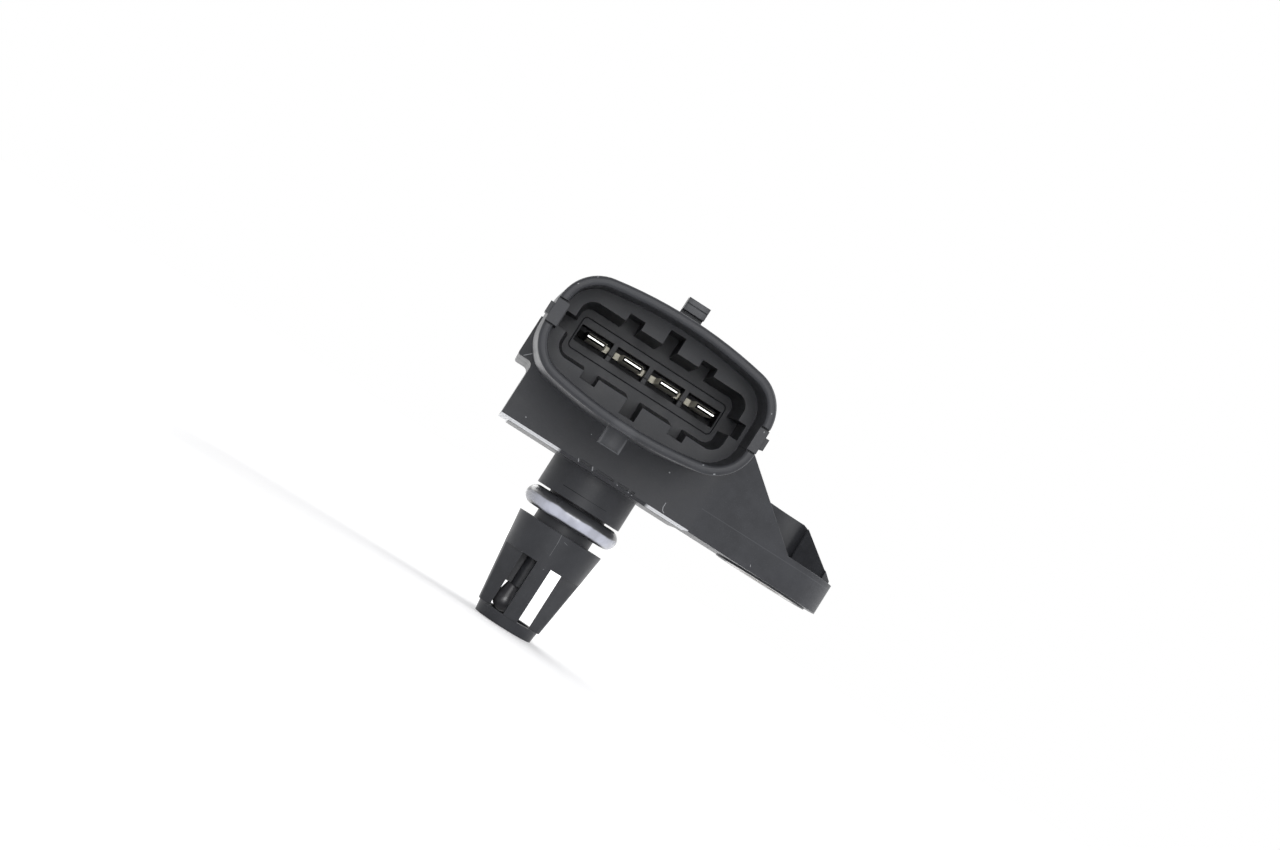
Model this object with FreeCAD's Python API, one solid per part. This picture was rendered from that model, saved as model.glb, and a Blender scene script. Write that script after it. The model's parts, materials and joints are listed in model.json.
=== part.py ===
import FreeCAD, Part
import math
import os

# Manifold absolute pressure sensor, in millimetres.
# Frame: +Z is up, the spigot points down -Z on the Z axis, the connector looks toward -Y,
# the fixing flange lies toward +X. Heights below are measured from the bottom face of the body.
# The finished part is raised by the thickness of the lid, so its origin is on the spigot axis at the seat.

V = FreeCAD.Vector
X_AXIS = V(1, 0, 0)
Z_AXIS = V(0, 0, 1)

# body box
front_y = -11.0
rear_y = 8.05
left_x = -14.73
bend_x = 12.0
body_top_z = 12.4
wide_left_x = -16.9
wide_bottom_z = 7.0
wide_fillet = 0.7
skirt_bevel = 0.2

# flange, screw axis and the walls round the screw head
screw_x = 25.0
flange_end_r = 8.05
flange_top_z = 4.0
flange_bottom_z = -0.2
flange_pad_x = 14.0
ramp_slope = 0.773
pocket_r = 7.0
pocket_fillet = 1.3
rear_wall_z = 9.5
rear_wall_fall = 0.2
rear_wall_x = 27.2
rear_wall_corner = 0.4
gusset_x = 27.7
gusset_near = (27.7, 4.9)
gusset_far = (32.7, 1.3)
gusset_slope = 0.865

# metal bush
bush_r = 5.1
bush_bore_r = 3.2
bush_proud = 0.25
bush_pad_r = 6.6

# hood over the terminals, behind the collar
hood_half = 10.6
hood_top_z = 19.3
hood_rear_y = 4.5
hood_round = 2.4

# connector, built square to the front face and then leaned down by lean_deg
conn_x = -2.58
conn_z = 12.9
lean_deg = 2.7
rim_out = 24.7
shoulder_out = 16.6
floor_out = 8.0
rim_half_l = 13.72
rim_half_h = 7.28
rim_side_r = 53.0
rim_end_r = 28.0
rim_corner_r = 4.95
rim_wall = 1.08
rim_round = 0.4
collar_draft = 0.42
collar_root = -1.5

# coded opening in the shoulder
open_half_l = 10.98
open_half_h = 3.66
open_corner_r = 1.6
floor_half_l = 10.55
floor_half_h = 3.1
floor_corner_r = 1.2
key_w = 1.98
key_top = 4.65
key_top_mid = 5.6
key_top_pitch = 4.9
key_low = 4.64
key_low_mid = 5.58
key_low_pitch = 5.9
key_end = 12.1
key_end_half = 1.0

# locking lugs and end clips of the collar
lug_half_w = 1.37
lug_tip = 9.65
lug_out = 19.5
lug_back = 17.2
lug_dish_r = 3.0
lug_dish_floor = 0.12
clip_half_h = 1.43
clip_inner = {-1: 12.25, 1: 12.55}
clip_sink = 0.25
clip_seam = 0.2
clip_seam_depth = 1.0
hook_half_h = 0.7
hook_reach = 0.5
hook_depth = 5.0

# carrier and terminals
carrier_half_l = 10.0
carrier_half_h = 2.1
carrier_corner_r = 0.6
carrier_root = 1.0
carrier_bevel = 0.12
slot_half_l = 9.7
slot_half_h = 1.07
slot_depth = 5.0
separator_w = 0.6
separator_step = 0.4
separator_step_h = 0.36
pitch = 5.0
tab_w = 2.8
tab_t = 0.8
tab_tip_w = 2.2
tab_tip_t = 0.36
tab_tip_len = 1.2
tab_out = 14.1
tab_shoulder_w = 4.2
tab_shoulder_out = 6.7
tab_shoulder_len = 2.2
stem_w = 1.8
leg_y = -6.5

# chamber for the electronics
chamber_x0 = -12.3
chamber_x1 = 9.9
chamber_y0 = -8.9
chamber_y1 = 5.7
ledge_w = 1.3
ledge_z = 5.4
chamber_top_z = 9.0
chamber_corner_r = 1.0

# port cover: lid, spigot, groove and cage
lid_t = 0.45
lid_x0 = -13.7
lid_x1 = 12.0
lid_y0 = -10.5
lid_y1 = 7.4
lid_chamfer = 0.25
lid_corner_r = 1.0
lid_boss_gap = 0.5
lid_boss_h = 1.4
port_r = 6.08
port_end_z = -4.7
groove_r = 4.1
groove_end_z = -8.8
cone_top_r = 6.08
cone_end_r = 5.57
cone_end_z = -13.25
leg_top_r = 5.55
leg_end_r = 4.51
leg_end_z = -21.1
tip_r = 4.07
tip_z = -22.6
cage_bore_r = 3.1
port_bore_r = 2.6
cage_slot_left = (-2.95, -0.95)
cage_slot_near = (1.05, 2.5)
cage_slot_far = (1.05, 3.5)
leg_flat_top = 6.9
leg_flat_end = 5.6
holder_x0 = -3.3
holder_x1 = 0.5
holder_step_x = -2.04
holder_half_y = 1.5
holder_recess_y = -0.5
holder_round = 0.85
holder_end_z = -17.45
holder_top_z = -12.6

# sealing ring
ring_r = 5.35
ring_tube_r = 1.32
ring_z = -6.3

# thermistor
bead_x = -1.5
bead_r = 1.52
bead_z = -19.73
bead_neck_r = 0.95
lead_x = (-1.6, -0.75)
lead_r = 0.2
lead_hole_r = 0.3
sleeve_r = 0.4
sleeve_z0 = -12.4
sleeve_z1 = 0.9

# electronics
board_t = 0.7
board_margin = 0.25
cell_x = 4.6
cell_y = -1.2
cell_glass = 2.2
cell_glass_h = 1.2
cell_die = 2.0
cell_die_h = 0.4
frame_half = 3.0
frame_wall = 0.7
frame_h = 2.2
gel_h = 1.9
wire_r = 0.1
chip_size = (4.4, 3.4, 0.9)
chip_at = (-7.0, -0.6)
cap_size = (1.6, 0.8, 0.8)
cap_at = ((-1.6, -3.2), (-1.6, 2.6), (2.8, 2.6), (5.4, -3.2))


def box(x0, x1, y0, y1, z0, z1):
    return Part.makeBox(x1 - x0, y1 - y0, z1 - z0, V(x0, y0, z0))


def cylinder(radius, x, y, z0, z1):
    return Part.makeCylinder(radius, z1 - z0, V(x, y, z0), Z_AXIS)


def cone(r0, r1, x, y, z0, z1):
    return Part.makeCone(r0, r1, z1 - z0, V(x, y, z0), Z_AXIS)


def prism(points, direction):
    corners = [V(*p) for p in points]
    return Part.Face(Part.makePolygon(corners + [corners[0]])).extrude(direction)


def spun(points, x, y):
    corners = [V(r, 0, z) for r, z in points]
    face = Part.Face(Part.makePolygon(corners + [corners[0]]))
    solid = face.revolve(V(0, 0, 0), Z_AXIS, 360)
    solid.translate(V(x, y, 0))
    return solid


def upright_edges(solid):
    return [e for e in solid.Edges if abs(e.tangentAt(e.FirstParameter).z) > 0.99]


def rounded_box(x0, x1, y0, y1, z0, z1, radius):
    solid = box(x0, x1, y0, y1, z0, z1)
    return solid.makeFillet(radius, upright_edges(solid))


def out_y(out):
    return front_y - out


def leaned(shape):
    turned = shape.copy()
    turned.rotate(V(conn_x, front_y, conn_z), X_AXIS, lean_deg)
    return turned


def across(x0, x1, h0, h1, out0, out1):
    return box(conn_x + x0, conn_x + x1, out_y(out1), out_y(out0), conn_z + h0, conn_z + h1)


def barrel_wire(half_l, half_h, grown, out):
    side_r = rim_side_r + grown
    end_r = rim_end_r + grown
    corner_r = rim_corner_r + grown
    low = half_h - side_r
    inner = half_l - end_r
    reach = math.hypot(inner, low)
    to_side = side_r - corner_r
    to_end = end_r - corner_r
    along = (to_side**2 - to_end**2 + reach**2) / (2.0 * reach)
    off = math.sqrt(to_side**2 - along**2)
    ux, uh = inner / reach, -low / reach
    corner_x = along * ux + off * uh
    corner_h = low + along * uh - off * ux
    if corner_h < 0:
        corner_x = along * ux - off * uh
        corner_h = low + along * uh + off * ux
    side_touch = (corner_x * side_r / to_side, low + (corner_h - low) * side_r / to_side)
    end_touch = (inner + (corner_x - inner) * end_r / to_end, corner_h * end_r / to_end)
    slant = math.atan2(corner_h - low, corner_x) / 2 + math.atan2(corner_h, corner_x - inner) / 2
    corner_mid = (corner_x + corner_r * math.cos(slant), corner_h + corner_r * math.sin(slant))

    def arc(first, middle, last):
        return Part.Arc(*[V(conn_x + x, out_y(out), conn_z + h) for x, h in (first, middle, last)]).toShape()

    def flip(point, sx, sh):
        return (point[0] * sx, point[1] * sh)

    edges = [
        arc(flip(side_touch, -1, 1), (0, half_h), side_touch),
        arc(side_touch, corner_mid, end_touch),
        arc(end_touch, (half_l, 0), flip(end_touch, 1, -1)),
        arc(flip(end_touch, 1, -1), flip(corner_mid, 1, -1), flip(side_touch, 1, -1)),
        arc(flip(side_touch, 1, -1), (0, -half_h), flip(side_touch, -1, -1)),
        arc(flip(side_touch, -1, -1), flip(corner_mid, -1, -1), flip(end_touch, -1, -1)),
        arc(flip(end_touch, -1, -1), (-half_l, 0), flip(end_touch, -1, 1)),
        arc(flip(end_touch, -1, 1), flip(corner_mid, -1, 1), flip(side_touch, -1, 1)),
    ]
    return Part.Wire(edges)


def rounded_wire(half_l, half_h, radius, out):
    def at(x, h):
        return V(conn_x + x, out_y(out), conn_z + h)

    bend = radius * (1.0 - math.sqrt(0.5))
    edges = []
    for i, (sx, sh) in enumerate([(1, 1), (1, -1), (-1, -1), (-1, 1)]):
        along = at(sx * (half_l - radius), sh * half_h)
        middle = at(sx * (half_l - bend), sh * (half_h - bend))
        side = at(sx * half_l, sh * (half_h - radius))
        first, last = (along, side) if i % 2 == 0 else (side, along)
        edges.append((first, middle, last))
    pieces = []
    for i, (first, middle, last) in enumerate(edges):
        pieces.append(Part.Arc(first, middle, last).toShape())
        pieces.append(Part.makeLine(last, edges[(i + 1) % 4][0]))
    return Part.Wire(pieces)


def lofted(first, last):
    return Part.makeLoft([first, last], True, True)


def flange_outline():
    reach = math.hypot(screw_x - bend_x, front_y)
    turn = math.atan2(-front_y, screw_x - bend_x) - math.asin(flange_end_r / reach)
    touch = V(screw_x + flange_end_r * math.sin(turn), -flange_end_r * math.cos(turn), 0)
    start = V(bend_x, front_y, 0)
    end_arc = Part.Arc(touch, V(screw_x + flange_end_r, 0, 0), V(screw_x, rear_y, 0))
    corners = [V(screw_x, rear_y, 0), V(left_x, rear_y, 0), V(left_x, front_y, 0), start]
    edges = [Part.makeLine(start, touch), end_arc.toShape()]
    edges += [Part.makeLine(a, b) for a, b in zip(corners, corners[1:])]
    return Part.Face(Part.Wire(edges))


def side_profile():
    ramp_end_x = screw_x + flange_end_r + 1.0
    ramp_top_x = screw_x - (body_top_z - flange_top_z) / ramp_slope
    low_z = rear_wall_z - rear_wall_fall
    corner_z = low_z - rear_wall_corner / 2
    wall_end_x = rear_wall_x + rear_wall_corner + (corner_z - flange_top_z) / gusset_slope
    ramp = [(left_x, flange_bottom_z), (ramp_end_x, flange_bottom_z), (ramp_end_x, flange_top_z)]
    ramp += [(screw_x, flange_top_z), (ramp_top_x, body_top_z), (left_x, body_top_z)]
    wall = [(flange_pad_x, flange_bottom_z), (wall_end_x, flange_bottom_z), (wall_end_x, flange_top_z)]
    wall += [(rear_wall_x + rear_wall_corner, corner_z), (rear_wall_x, low_z), (flange_pad_x, rear_wall_z)]
    return ramp, wall


def body_shell():
    outline = flange_outline().extrude(V(0, 0, body_top_z - flange_bottom_z))
    outline.translate(V(0, 0, flange_bottom_z))
    ramp, wall = side_profile()
    depth = V(0, rear_y - front_y, 0)
    ramp_solid = prism([(x, front_y, z) for x, z in ramp], depth)
    wall_solid = prism([(x, 0, z) for x, z in wall], V(0, rear_y, 0))
    body = outline.common(ramp_solid.fuse(wall_solid))
    pocket = cylinder(pocket_r, screw_x, 0, flange_top_z, body_top_z)
    keep = prism([(gusset_x, rear_y, flange_top_z),
                  (gusset_near[0], gusset_near[1], flange_top_z),
                  (gusset_far[0], gusset_far[1], flange_top_z),
                  (gusset_far[0] + 2.0, rear_y, flange_top_z)], V(0, 0, body_top_z))
    hollow = pocket.cut(keep)
    corner = [e for e in upright_edges(hollow)
              if abs(e.Vertexes[0].X - gusset_x) < 0.01 and e.Vertexes[0].Y > gusset_near[1] + 0.01]
    body = body.cut(hollow.makeFillet(pocket_fillet, corner))
    front_end = box(screw_x, screw_x + flange_end_r + 1, -flange_end_r, gusset_far[1], flange_top_z, body_top_z)
    return body.cut(front_end.cut(keep))


def skirt_bevel_cut():
    z = flange_bottom_z
    points = [(left_x, front_y, z), (left_x, front_y + skirt_bevel, z), (left_x, front_y, z + skirt_bevel)]
    return prism(points, V(flange_pad_x - left_x, 0, 0))


def lid_outline(z0, z1):
    return rounded_box(lid_x0, lid_x1, lid_y0, lid_y1, z0, z1, lid_corner_r)


def wide_part():
    x_in = left_x + 1.0
    f = wide_fillet
    slant = math.sqrt(0.5)
    corner = V(left_x, 0, wide_bottom_z - f)
    edges = [
        Part.makeLine(V(wide_left_x, 0, body_top_z), V(wide_left_x, 0, wide_bottom_z + f / 2)),
        Part.Arc(V(wide_left_x, 0, wide_bottom_z + f / 2),
                 V(wide_left_x + f / 2 * (1 - slant), 0, wide_bottom_z + f / 2 * (1 - slant)),
                 V(wide_left_x + f / 2, 0, wide_bottom_z)).toShape(),
        Part.makeLine(V(wide_left_x + f / 2, 0, wide_bottom_z), V(left_x - f, 0, wide_bottom_z)),
        Part.Arc(V(left_x - f, 0, wide_bottom_z),
                 V(left_x - f * (1 - slant), 0, wide_bottom_z - f * (1 - slant)), corner).toShape(),
        Part.makeLine(corner, V(x_in, 0, wide_bottom_z - f)),
        Part.makeLine(V(x_in, 0, wide_bottom_z - f), V(x_in, 0, body_top_z)),
        Part.makeLine(V(x_in, 0, body_top_z), V(wide_left_x, 0, body_top_z)),
    ]
    solid = Part.Face(Part.Wire(edges)).extrude(V(0, rear_y - front_y, 0))
    solid.translate(V(0, front_y, 0))
    return solid


def hood():
    solid = box(conn_x - hood_half, conn_x + hood_half, front_y, hood_rear_y, body_top_z - 1.0, hood_top_z)
    crown = [e for e in solid.Edges
             if min(v.Z for v in e.Vertexes) > hood_top_z - 0.01 and max(v.Y for v in e.Vertexes) > front_y + 0.01]
    rear = [e for e in upright_edges(solid) if e.Vertexes[0].Y > 0]
    return solid.makeFillet(hood_round, crown + rear)


def collar():
    base_l = rim_half_l + collar_draft
    base_h = rim_half_h + collar_draft
    outer = lofted(barrel_wire(base_l, base_h, collar_draft, collar_root),
                   barrel_wire(rim_half_l, rim_half_h, 0.0, rim_out))
    inner = Part.Face(barrel_wire(rim_half_l - rim_wall, rim_half_h - rim_wall, -rim_wall, rim_out))
    tube = outer.cut(inner.extrude(V(0, rim_out - shoulder_out, 0)))
    rim = [e for e in tube.Edges if all(abs(v.Y - out_y(rim_out)) < 0.01 for v in e.Vertexes)]
    return tube.makeFillet(rim_round, rim)


def coded_opening():
    mouth = lofted(rounded_wire(floor_half_l, floor_half_h, floor_corner_r, floor_out),
                   rounded_wire(open_half_l, open_half_h, open_corner_r, shoulder_out))
    half = key_w / 2
    keys = [across(-half, half, -key_low_mid, key_top_mid, floor_out, shoulder_out)]
    keys.append(across(-key_end, key_end, -key_end_half, key_end_half, floor_out, shoulder_out))
    for side in (-1, 1):
        top_x = side * key_top_pitch
        low_x = side * key_low_pitch
        keys.append(across(top_x - half, top_x + half, 0, key_top, floor_out, shoulder_out))
        keys.append(across(low_x - half, low_x + half, -key_low, 0, floor_out, shoulder_out))
    return mouth.multiFuse(keys)


def locking_lugs():
    inner = rim_half_h - 0.3
    step = rim_half_h + 0.85
    upper = across(-lug_half_w, lug_half_w, step, lug_tip, lug_back, lug_out)
    foot = across(-lug_half_w, lug_half_w, inner, step, lug_back, lug_out - 1.4)
    line = across(-lug_half_w, lug_half_w, lug_tip - 0.75, lug_tip - 0.65, lug_out - 0.15, lug_out)
    lower = across(-lug_half_w, lug_half_w, -lug_tip, -inner, lug_back, lug_out)
    dish_y = out_y(lug_out) - lug_dish_r * 0.9
    dish = Part.makeCylinder(lug_dish_r, lug_tip, V(conn_x, dish_y, conn_z - lug_tip + lug_dish_floor), Z_AXIS)
    return upper.fuse(foot).cut(line), lower.cut(dish)


def end_clip(side):
    front = rim_out - clip_sink
    near, far = sorted((side * clip_inner[side], side * rim_half_l))
    block = across(near, far, -clip_half_h, clip_half_h, shoulder_out - 0.5, front)
    near, far = sorted((side * (rim_half_l - 0.4), side * (rim_half_l + hook_reach)))
    hook = across(near, far, -hook_half_h, hook_half_h, front - hook_depth, front - 0.3)
    return block.fuse(hook)


def clip_slot(side):
    half = clip_half_h + clip_seam
    near, far = sorted((side * (clip_inner[side] + 0.1), side * (rim_half_l + 1.0)))
    return across(near, far, -half, half, rim_out - clip_seam_depth, rim_out + 1.0)


def chamber():
    lower = rounded_box(chamber_x0, chamber_x1, chamber_y0, chamber_y1, 0, ledge_z, chamber_corner_r)
    upper = rounded_box(chamber_x0 + ledge_w, chamber_x1 - ledge_w, chamber_y0 + ledge_w,
                        chamber_y1 - ledge_w, 0, chamber_top_z, chamber_corner_r)
    return lower.fuse(upper)


def edge_dashes():
    spans = ((-3.4, -1.9), (-1.2, 1.3), (1.9, 3.4), (3.8, 4.3))
    return [box(x0, x1, front_y, front_y + 0.25, 0, 0.3) for x0, x1 in spans]


def carrier_blank():
    return Part.Face(rounded_wire(carrier_half_l, carrier_half_h, carrier_corner_r, floor_out)).extrude(
        V(0, floor_out - carrier_root, 0))


def terminal(index):
    x = (index - 1.5) * pitch
    half = tab_t / 2
    tab = across(x - tab_w / 2, x + tab_w / 2, -half, half, tab_shoulder_out, tab_out - tab_tip_len)
    shoulder = across(x - tab_shoulder_w / 2, x + tab_shoulder_w / 2, -half, half,
                      tab_shoulder_out - tab_shoulder_len, tab_shoulder_out)
    tip = Part.makeLoft([tab_section(x, tab_w, tab_t, tab_out - tab_tip_len),
                         tab_section(x, tab_tip_w, tab_tip_t, tab_out)], True, True)
    stem_end = front_y - leg_y - tab_t / 2
    stem = across(x - stem_w / 2, x + stem_w / 2, -half, half, stem_end, tab_shoulder_out - tab_shoulder_len)
    blade = leaned(tab.multiFuse([shoulder, tip, stem]))
    leg_top = conn_z + (leg_y - front_y) * math.tan(math.radians(lean_deg)) + half
    leg = box(conn_x + x - stem_w / 2, conn_x + x + stem_w / 2, leg_y - half, leg_y + half, ledge_z, leg_top)
    return blade.fuse(leg).removeSplitter()


def tab_section(x, width, thick, out):
    corners = [(-1, -1), (1, -1), (1, 1), (-1, 1)]
    points = [V(conn_x + x + sx * width / 2, out_y(out), conn_z + sh * thick / 2) for sx, sh in corners]
    return Part.makePolygon(points + [points[0]])


def terminal_carrier(terminals):
    slot = across(-slot_half_l, slot_half_l, -slot_half_h, slot_half_h, floor_out - slot_depth, floor_out)
    for x in (-pitch, 0.0, pitch):
        half = separator_w / 2
        wall = across(x - half, x + half, -slot_half_h, slot_half_h, floor_out - slot_depth, floor_out)
        notch = across(x - half, x + half, -slot_half_h, -separator_step_h, floor_out - separator_step, floor_out)
        slot = slot.cut(wall.cut(notch))
    blank = carrier_blank()
    rim = [e for e in blank.Edges if all(abs(v.Y - out_y(floor_out)) < 0.01 for v in e.Vertexes)]
    carrier = leaned(blank.makeChamfer(carrier_bevel, rim).cut(slot))
    return carrier.cut(Part.makeCompound(terminals))


def housing(terminals):
    pad = cylinder(bush_pad_r, screw_x, 0, flange_bottom_z - bush_proud, flange_bottom_z)
    body = body_shell().multiFuse([wide_part(), hood(), pad])
    shell = leaned(collar())
    lugs = [leaned(s) for s in locking_lugs()]
    solid = body.multiFuse([shell] + lugs)
    slots = [leaned(clip_slot(side)) for side in (-1, 1)]
    solid = solid.cut(Part.makeCompound([leaned(coded_opening()), leaned(carrier_blank())] + slots))
    solid = solid.multiFuse([leaned(end_clip(side)) for side in (-1, 1)])
    bores = [cylinder(bush_r, screw_x, 0, flange_bottom_z - bush_proud, flange_top_z), chamber()]
    bores += [skirt_bevel_cut(), lid_outline(flange_bottom_z, 0)]
    solid = solid.cut(Part.makeCompound(bores + edge_dashes()))
    return solid.cut(Part.makeCompound(terminals)).removeSplitter()


def mounting_bush():
    wall = cylinder(bush_r, screw_x, 0, flange_bottom_z - bush_proud, flange_top_z)
    return wall.cut(cylinder(bush_bore_r, screw_x, 0, flange_bottom_z - bush_proud, flange_top_z))


def cage_legs():
    envelope = cone(leg_end_r, leg_top_r, 0, 0, leg_end_z, cone_end_z)

    def square(reach, z):
        points = [V(reach, 0, z), V(0, reach, z), V(-reach, 0, z), V(0, -reach, z)]
        return Part.makePolygon(points + [points[0]])

    flats = Part.makeLoft([square(leg_flat_end, leg_end_z), square(leg_flat_top, cone_end_z)], True, True)
    middle = box(cage_slot_left[1], cage_slot_near[0], -leg_top_r, leg_top_r, leg_end_z, cone_end_z)
    full = cone(tip_r + 0.2, cone_end_r, 0, 0, leg_end_z, cone_end_z)
    legs = envelope.common(flats).fuse(full.common(middle))
    near = -leg_top_r - 1
    gaps = [box(cage_slot_left[0], cage_slot_left[1], near, -near, leg_end_z, cone_end_z)]
    gaps.append(prism([(cage_slot_near[0], near, leg_end_z), (cage_slot_near[1], near, leg_end_z),
                       (cage_slot_far[1], -near, leg_end_z), (cage_slot_far[0], -near, leg_end_z)],
                      V(0, 0, cone_end_z - leg_end_z)))
    return legs.cut(Part.makeCompound(gaps + [cylinder(cage_bore_r, 0, 0, leg_end_z, cone_end_z)]))


def lead_holder():
    flat = box(holder_x0, holder_x1, holder_recess_y, holder_half_y, holder_end_z, holder_top_z)
    column = box(holder_step_x, holder_x1, -holder_half_y, holder_half_y, holder_end_z, holder_top_z)
    return flat.fuse(column.makeFillet(holder_round, upright_edges(column)))


def port_cover():
    lid = lid_outline(-lid_t, 0)
    rim = [e for e in lid.Edges if all(v.Z < -lid_t + 0.01 for v in e.Vertexes)]
    lid = lid.makeChamfer(lid_chamfer, rim)
    g = lid_boss_gap
    boss = rounded_box(chamber_x0 + g, chamber_x1 - g, chamber_y0 + g, chamber_y1 - g, 0, lid_boss_h, 0.6)
    shaft = spun([(port_bore_r, -lid_t), (port_r, -lid_t), (port_r, port_end_z), (groove_r, port_end_z),
                  (groove_r, groove_end_z), (cone_top_r, groove_end_z), (cone_end_r, cone_end_z),
                  (port_bore_r, cone_end_z)], 0, 0)
    foot = spun([(cage_bore_r, leg_end_z), (tip_r + 0.2, leg_end_z), (tip_r, tip_z), (cage_bore_r, tip_z)], 0, 0)
    solid = lid.fuse(boss).cut(cylinder(port_bore_r, 0, 0, -lid_t, lid_boss_h))
    solid = solid.multiFuse([shaft, cage_legs(), foot, lead_holder()])
    holes = [cylinder(lead_hole_r, x, 0, holder_end_z, holder_top_z) for x in lead_x]
    return solid.cut(Part.makeCompound(holes)).removeSplitter()


def cover_sealant():
    outer = rounded_box(chamber_x0, chamber_x1, chamber_y0, chamber_y1, 0, lid_boss_h - 0.2, chamber_corner_r)
    g = lid_boss_gap
    inner = rounded_box(chamber_x0 + g, chamber_x1 - g, chamber_y0 + g, chamber_y1 - g, 0, lid_boss_h, 0.6)
    return outer.cut(inner)


def o_ring():
    ring = Part.makeTorus(ring_r, ring_tube_r, V(0, 0, ring_z), Z_AXIS)
    return ring.cut(cylinder(groove_r, 0, 0, ring_z - ring_tube_r, ring_z + ring_tube_r))


def thermistor_bead():
    height = holder_end_z - bead_z
    reach = math.hypot(bead_neck_r, height)
    angle = math.atan2(height, bead_neck_r) - math.acos(bead_r / reach)
    touch = V(bead_r * math.cos(angle), 0, bead_z + bead_r * math.sin(angle))
    side = V(bead_r * math.cos(-0.6), 0, bead_z + bead_r * math.sin(-0.6))
    low = V(0, 0, bead_z - bead_r)
    top = V(0, 0, holder_end_z)
    neck = V(bead_neck_r, 0, holder_end_z)
    edges = [Part.makeLine(top, neck), Part.makeLine(neck, touch), Part.Arc(touch, side, low).toShape(),
             Part.makeLine(low, top)]
    solid = Part.Face(Part.Wire(edges)).revolve(V(0, 0, 0), Z_AXIS, 360)
    solid.translate(V(bead_x, 0, 0))
    return solid


def board_top():
    return ledge_z


def board_bottom():
    return ledge_z - board_t


def thermistor_lead(x):
    return cylinder(lead_r, x, 0, holder_end_z, board_bottom())


def lead_sleeve(x):
    return cylinder(sleeve_r, x, 0, sleeve_z0, sleeve_z1).cut(cylinder(lead_r, x, 0, sleeve_z0, sleeve_z1))


def substrate():
    m = board_margin
    return rounded_box(chamber_x0 + m, chamber_x1 - m, chamber_y0 + m, chamber_y1 - m,
                       board_bottom(), board_top(), chamber_corner_r)


def centred_box(x, y, size_x, size_y, z0, z1):
    return box(x - size_x / 2, x + size_x / 2, y - size_y / 2, y + size_y / 2, z0, z1)


def glass_pedestal():
    z = board_bottom()
    return centred_box(cell_x, cell_y, cell_glass, cell_glass, z - cell_glass_h, z)


def pressure_die():
    z = board_bottom() - cell_glass_h
    return centred_box(cell_x, cell_y, cell_die, cell_die, z - cell_die_h, z)


def gel_frame():
    z = board_bottom()
    outer = centred_box(cell_x, cell_y, 2 * frame_half, 2 * frame_half, z - frame_h, z)
    inner = 2 * (frame_half - frame_wall)
    return outer.cut(centred_box(cell_x, cell_y, inner, inner, z - frame_h, z))


def bond_wires(die):
    z = board_bottom()
    low = z - cell_glass_h - cell_die_h
    wires = []
    for dy in (-0.6, -0.2, 0.2, 0.6):
        start = V(cell_x + cell_die / 2 - 0.3, cell_y + dy, low)
        peak = V(cell_x + cell_die / 2 + 0.2, cell_y + dy, low - 0.4)
        bend = V(cell_x + frame_half - frame_wall - 0.5, cell_y + dy, low + 0.3)
        end = V(cell_x + frame_half - frame_wall - 0.5, cell_y + dy, z)
        for a, b in ((start, peak), (peak, bend), (bend, end)):
            wires.append(Part.makeCylinder(wire_r, (b - a).Length, a, b - a))
        wires.append(Part.makeSphere(wire_r, peak))
        wires.append(Part.makeSphere(wire_r, bend))
    return wires[0].multiFuse(wires[1:]).cut(die)


def gel_fill(others):
    z = board_bottom()
    inner = 2 * (frame_half - frame_wall)
    return centred_box(cell_x, cell_y, inner, inner, z - gel_h, z).cut(Part.makeCompound(others))


def processing_chip():
    return centred_box(chip_at[0], chip_at[1], chip_size[0], chip_size[1], board_top(), board_top() + chip_size[2])


def chip_capacitors():
    z = board_top()
    return Part.makeCompound([centred_box(x, y, cap_size[0], cap_size[1], z, z + cap_size[2]) for x, y in cap_at])


def build():
    terminals = [terminal(i) for i in range(4)]
    parts = {"terminal_%d" % (i + 1): shape for i, shape in enumerate(terminals)}
    parts["housing"] = housing(terminals)
    parts["terminal_carrier"] = terminal_carrier(terminals)
    parts["mounting_bush"] = mounting_bush()
    parts["port_cover"] = port_cover()
    parts["cover_sealant"] = cover_sealant()
    parts["o_ring"] = o_ring()
    parts["thermistor_bead"] = thermistor_bead()
    for i, x in enumerate(lead_x):
        parts["thermistor_lead_%d" % (i + 1)] = thermistor_lead(x)
        parts["lead_sleeve_%d" % (i + 1)] = lead_sleeve(x)
    parts["substrate"] = substrate()
    parts["glass_pedestal"] = glass_pedestal()
    parts["pressure_die"] = pressure_die()
    parts["gel_frame"] = gel_frame()
    parts["bond_wires"] = bond_wires(parts["pressure_die"])
    parts["gel_fill"] = gel_fill([parts["glass_pedestal"], parts["pressure_die"], parts["bond_wires"]])
    parts["processing_chip"] = processing_chip()
    parts["chip_capacitors"] = chip_capacitors()
    return parts


os.makedirs("parts", exist_ok=True)
for name, shape in build().items():
    shape.translate(V(0, 0, lid_t))
    shape.exportStep("parts/" + name + ".step")
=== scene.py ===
import json
import math

import bpy
from mathutils import Matrix, Vector


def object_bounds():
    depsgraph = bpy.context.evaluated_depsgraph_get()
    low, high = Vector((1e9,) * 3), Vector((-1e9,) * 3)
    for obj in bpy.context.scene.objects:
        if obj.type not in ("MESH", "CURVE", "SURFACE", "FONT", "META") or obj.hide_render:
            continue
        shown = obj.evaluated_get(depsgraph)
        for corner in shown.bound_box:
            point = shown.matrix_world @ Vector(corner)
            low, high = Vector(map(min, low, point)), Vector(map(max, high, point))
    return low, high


# Dressing, light and camera for the manifold pressure sensor.
# Lengths are in metres unless a name or a comment says mm.
# A pair of numbers is where a change starts and where it ends, unless its comment says otherwise.

MM = 0.001
WHITE = (1, 1, 1, 1)

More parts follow.
